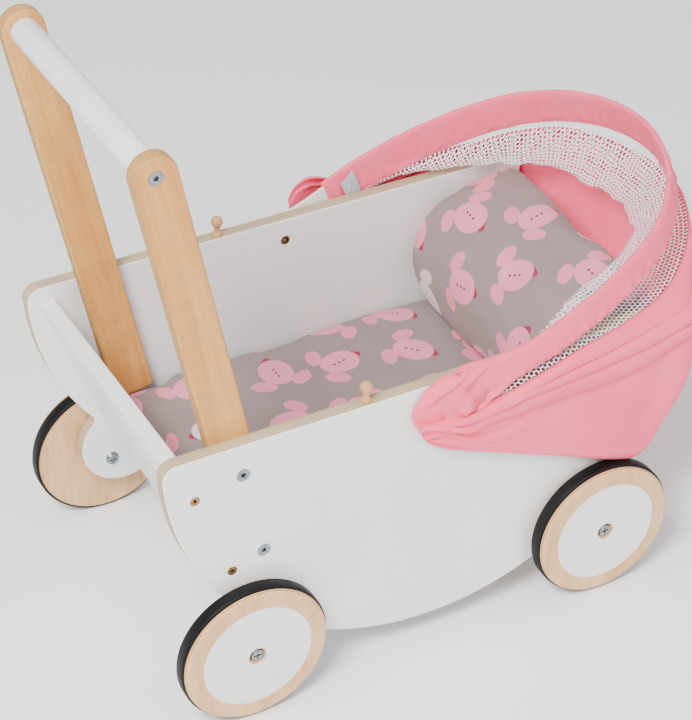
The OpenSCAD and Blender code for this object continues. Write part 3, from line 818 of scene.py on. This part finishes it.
def hole(offset):
    """Distance to the nearest hole's middle in one of the two interleaved sets of holes."""
    a = (u / pitch + offset).worked("FRACT") - 0.5
    b = ((v / (pitch * 1.732) + offset).worked("FRACT") - 0.5) * 1.732
    return (a * a + b * b).worked("SQRT")


yarn = hole(0.0).worked("MINIMUM", hole(0.5)).step(0.385, 0.445)
fuzz = net_finish.flat.cloud(900, 2, 0.6)
white_net = net_finish.wear(Base_Color=fuzz.tint(linear(238, 238, 242), linear(248, 248, 250)), Alpha=yarn,
                            Roughness=0.75 + 0.1 * fuzz, Normal=net_finish.relief(yarn + fuzz * 0.3, 0.5, 0.0004))


def along(points, t):
    """A smooth line through the points, evenly shared out over t from 0 to 1."""
    x = max(0.0, min(1.0, t)) * (len(points) - 1)
    i = min(len(points) - 2, int(x))
    a, b, c, d = (Vector(points[max(0, min(len(points) - 1, j))]) for j in (i - 1, i, i + 1, i + 2))
    return bend(a, b, c, d, x - i)


def gap(s):
    """How far below the sleeve the cover's seam lies: close to it at the right and the left."""
    if s < half_bow:
        return 1.5 + 22.5 * ease_in(s, 95, 225)
    return 24 - 12 * ease_in(s - half_bow, 20, 110) - 9 * ease_in(s - half_bow, 150, 230)


fold = ((20, -138, 226), (60, -134, 244), (102, -118, 258), (145, -95, 264), (188, -78, 267), (220, -56, 267),
        (238, -30, 266), (243, 0, 267), (236, 34, 267), (222, 66, 268), (200, 92, 264), (170, 110, 260),
        (138, 123, 257.5), (104, 132, 256), (74, 135, 246))
net_from, net_to = 22.0, 60.0
net_run = 2 * half_bow - net_to - net_from


def net_place(u, v):
    """From the sleeve's edge in and down to the fold, then back out and up to the seam."""
    s = net_from + u * net_run
    upper, inner, seam = on_bow(s, 0.5, half_width(s) - 1.5), along(fold, u), on_bow(s, 4.0, 17 + gap(s))
    soft = noise.noise(Vector((u * 22, 7, 0))) * 4 * math.sin(math.pi * u)
    inner += Vector((soft, 0, soft * 0.6))
    if v < 0.5:
        w = v * 2
        p = upper.lerp(inner, w)
        p.z -= 3.5 * math.sin(math.pi * w)
    else:
        w = v * 2 - 1
        p = inner.lerp(seam, w)
        p.z -= 7 * math.sin(math.pi * w) * math.sin(math.pi * u)
    p += 1.2 * noise.noise(Vector((u * 60, v * 3, 5))) * math.sin(math.pi * v) * Vector((1, 0, 1))
    return p


def net_cut(u, v):
    """The same place on the net laid flat."""
    s = net_from + u * net_run
    inner = along(fold, u)
    first, back = (on_bow(s, 0.5, half_width(s) - 1.5) - inner).length, (on_bow(s, 4.0, 17 + gap(s)) - inner).length
    return u * net_run / 1000, (min(1.0, v * 2) * first + max(0.0, v * 2 - 1) * back) / 1000


net = woven("hood_net", 300, 28, net_place, net_cut, white_net)
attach(net, "hood")
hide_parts("hood_mesh")
round(net_run / 1000, 3)

# The cover's lower edge, from the right rear corner round to the middle of the head end.
edge = [Vector(p) for p in ((-21, 140.5, 217), (-11, 141, 199), (40, 141, 176), (110, 141.5, 146), (160, 141, 123),
                            (188, 139.5, 114), (204, 138.5, 146), (221, 131, 161), (228, 114, 134), (233, 84, 142),
                            (236, 0, 156))]
for _ in range(2):
    cut = [a.lerp(b, k) for a, b in zip(edge, edge[1:]) for k in (0.25, 0.75)]
    edge = [edge[0]] + cut + [edge[-1]]
edge_run = [0.0]
for a, b in zip(edge, edge[1:]):
    edge_run.append(edge_run[-1] + (b - a).length)


def hem(t):
    """A place t of the way along the cover's lower edge."""
    goal = t * edge_run[-1]
    for a, b, low, high in zip(edge, edge[1:], edge_run, edge_run[1:]):
        if goal <= high:
            return a.lerp(b, (goal - low) / (high - low))
    return edge[-1].copy()


girth = ((-22, 143.5, 224), (12, 144, 219), (60, 145.5, 225), (105, 146, 230), (150, 146, 236), (195, 144, 243),
         (226, 138, 249), (247, 100, 252), (272, 56, 252), (281, 26, 252), (283, 0, 252))
waist = ((-17, 142.5, 210), (20, 142.5, 198), (65, 143, 192), (110, 143, 187), (150, 143, 181), (188, 142.5, 184),
         (224, 141, 190), (236, 104, 208), (255, 56, 208), (262, 26, 207), (264, 0, 206))


def cover_lines(u):
    """Where the cover is sewn on, stands out most, draws in and ends, and how far round it is."""
    t = 1 - abs(2 * u - 1)
    left = u > 0.5
    s = -20 + t * (half_bow + 20)
    if left:
        s = 22 + t * (half_bow - 22)
        across = 4 - 27 * ease_in(s, 0, 34) + (40 + gap(2 * half_bow - s)) * ease_in(s, 40, 96)
        seam = on_bow(s, 8.5 - 4.5 * ease_in(s, 60, 120), across)
    else:
        seam = on_bow(s, 4.8, 4 + 13 * ease_in(s, -14, 26) + gap(s))
    body, waisted, low = along(girth, t), along(waist, t), hem(t)
    if left:
        body += Vector((36, 3, 0)) * (1 - ease_in(t, 0.1, 0.4))
        seam.y = -seam.y
    for p in (body, waisted, low):
        p.y = p.y if left else -p.y
    return seam, body, waisted, low, t


def creases(t, v, other):
    """Full folds between three deep creases that run out from the gathered rear corner: how far
    each stands out and how far it hangs over the crease below it."""
    drift = noise.noise(Vector((t * 5, v * 2, other)))
    lines = (0.0, 0.08 + 0.17 * ease_in(t, 0.08, 0.3) + 0.02 * drift,
             0.37 + 0.12 * math.exp(-t / 0.06) + 0.02 * drift,
             0.50 + 0.16 * math.exp(-t / 0.06) - 0.04 * ease_in(t, 0.4, 0.6), 1.0)
    fade = 1 - 0.6 * ease_in(t, 0.66, 0.85)
    for low, high, full, sharp in zip(lines, lines[1:], (6.0, 6.5, 5.0, 2.5), (0.4, 0.35, 0.35, 0.6)):
        if v <= high:
            w = max(0.0, (v - low) / (high - low))
            out = (full * fade * ease_in(t, 0.0, 0.1) + 0.6) * math.sin(math.pi * w) ** sharp
            return out, out * w * (0.55 if high < 0.45 else 0.3)
    return 0.0, 0.0


def cover_place(u, v):
    """The cover hangs from its seam over its fullest line and its waist to the hem, folded and
    slack, and lies outside the sides and end board where it meets them."""
    seam, body, waisted, low, t = cover_lines(u)
    other = 0 if u < 0.5 else 40
    p = along((seam, body, waisted, low), v)
    round_to = Vector((max(0.0, p.x - 120), p.y * 1.15 * (1 - 0.75 * ease_in(t, 0.7, 1.0)), 0)).normalized()
    held = math.sin(math.pi * v)
    out, over = creases(t, v, other)
    near = 1 - ease_in(t, 0.03, 0.3)
    out += near * 1.9 * math.sin(math.tau * (v * 5 + noise.noise(Vector((t * 9, v, other))))) * held
    head = ease_in(t, 0.62, 0.8)
    ripple = 3.2 * math.sin(t * 36 + v * 3.5 + other) + 2.0 * noise.noise(Vector((t * 9, v * 3, other)))
    out += head * ripple * held ** 0.7
    out += 1.6 * noise.noise(Vector((t * 12, v * 6, other + 3))) * held
    out += 1.2 * ease_in(v, 0.90, 0.96) * (1 - ease_in(v, 0.965, 1.0))
    p += round_to * out
    p.z -= over
    reach = math.hypot(p.x, p.z - top)
    rim_r, skin = cradle_r + 3.0, side_face + ply + 2.2
    if p.z < top + 3 and reach < rim_r and abs(p.y) < skin:
        if reach < cradle_r - 5 and abs(p.y) > side_face + ply - 9:
            p.y = math.copysign(skin, p.y)
        else:
            k = rim_r / reach
            p.x, p.z = p.x * k, top + (p.z - top) * k
    return p


def cover_cut(u, v):
    """The same place on the cover laid flat."""
    seam, body, waisted, low, t = cover_lines(u)
    return u * 2 * edge_run[-1] / 1000, (1 - v) * (low - seam).length / 1000


cover = woven("hood_cloth", 420, 90, cover_place, cover_cut, hemmed, thick=0.0009)
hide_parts("hood_cover")
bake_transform(cover)

# The tag is a short white ribbon, left blank, laid as one unfolded piece against the sleeve's inner face.
f = Finish("tag_ribbon", {"Specular IOR Level": 0.3})
# Its ribs are bumps, and its colour is painted darker in the grooves between them: painted shade.
rib_with_groove_shade = (f.place.part(0) * 2600).worked("SINE")
ribbon = f.wear(Base_Color=(rib_with_groove_shade * 0.5 + 0.5).tint(linear(150, 152, 158), linear(200, 202, 206)),
                Roughness=0.6 + 0.1 * f.place.cloud(600, 2, 0.5), Normal=f.relief(rib_with_groove_shade, 0.25, 0.0003))


def tag_place(u, v):
    """Lies against the sleeve's inner face, a little bowed."""
    s = 2 * half_bow - 66 - 15 * u
    turn = v * 2.2 - 0.2
    across = -8 + 25 * min(1, v * 1.1) - 4 * u
    return on_bow(s, -4.4 - 1.4 * math.sin(math.pi * v) - 0.5 * math.sin(u * 5), across)


tag = woven("blank_tag", 16, 24, tag_place, lambda u, v: (u * 0.015, v * 0.025), ribbon, thick=0.0008)
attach(tag, "hood")
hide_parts("hood_tag")

# ---- Floor and light
# A plain pale floor under one broad soft lamp overhead and a weaker one from the front.
bm = bmesh.new()
bmesh.ops.create_grid(bm, x_segments=1, y_segments=1, size=6000)
bmesh.ops.translate(bm, vec=(0, 0, -0.4), verts=bm.verts)
f = Finish("pale_floor", {"Specular IOR Level": 0.1})
pale = f.wear(Base_Color=f.place.cloud(2, 2, 0.5).tint(linear(250, 250, 250), linear(252, 252, 252)),
              Roughness=0.8 + 0.1 * f.place.cloud(3, 2, 0.5))
floor = finished(bm, "floor", None, pale)
sky = bpy.data.worlds.new("studio")
sky.use_nodes = True
sky.node_tree.nodes["Background"].inputs["Color"].default_value = (1, 1, 1, 1)
sky.node_tree.nodes["Background"].inputs["Strength"].default_value = 0.85
bpy.context.scene.world = sky
for name, at, size, power in (("broad_lamp", (-1.3, -1.1, 2.1), 0.8, 110), ("front_lamp", (1.4, -2.2, 1.2), 1.2, 24)):
    lamp = bpy.data.lights.new(name, "AREA")
    lamp.size, lamp.energy = size, power
    shining = bpy.data.objects.new(name, lamp)
    bpy.context.scene.collection.objects.link(shining)
    shining.matrix_world = Vector(at).to_track_quat("Z", "Y").to_matrix().to_4x4()
    shining.matrix_world.translation = at
